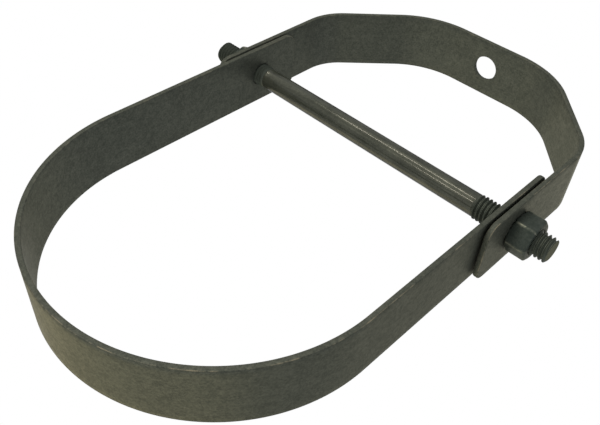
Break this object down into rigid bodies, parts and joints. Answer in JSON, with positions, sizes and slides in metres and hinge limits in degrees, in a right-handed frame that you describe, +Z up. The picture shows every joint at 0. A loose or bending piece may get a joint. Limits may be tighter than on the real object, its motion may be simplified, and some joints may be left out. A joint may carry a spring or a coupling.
{
  "type": "clevis pipe hanger",
  "caption": "Clevis pipe hanger of dark steel strap: a U-shaped pipe yoke and a rod yoke joined by a threaded cross bolt with hex nuts.",
  "frame": {"origin": "centre of the hanging rod's hole, halfway through the upper yoke's flat top", "axes": "+Z up along the hanging rod, +X along the cross bolt towards the end with the shorter length of thread past its nut, Y along the pipe; the hanger hangs as in use"},
  "size_m": [0.1681, 0.0254, 0.2219],
  "materials": {
    "strap_steel": "dark oiled mill scale, satin",
    "bolt_steel": "dark oiled plain steel, satin",
    "nut_steel": "dark oiled plain steel, satin"
  },
  "bodies": {
    "upper_yoke": {"upper_yoke": "strap_steel"},
    "lower_yoke": {"lower_yoke": "strap_steel"},
    "cross_bolt": {"cross_bolt": "bolt_steel", "far_nut": "nut_steel"},
    "near_nut": {"near_nut": "nut_steel"}
  },
  "joints": [
    {"name": "yoke_swing", "type": "hinge", "parent": "upper_yoke", "child": "lower_yoke", "pos_m": [0, 0, -0.08165], "axis": [1, 0, 0], "range_deg": [-140, 140]},
    {"name": "nut_run", "type": "slide", "parent": "upper_yoke", "child": "near_nut", "axis": [1, 0, 0], "range_m": [0, 0.01429]},
    {"name": "bolt_turn", "type": "hinge", "parent": "upper_yoke", "child": "cross_bolt", "pos_m": [0, 0, -0.08165], "axis": [-1, 0, 0], "range_deg": [0, 3240]}
  ],
  "couplings": [
    {"joint": "bolt_turn", "follows": "nut_run", "rad_per_m": 3957.9}
  ]
}
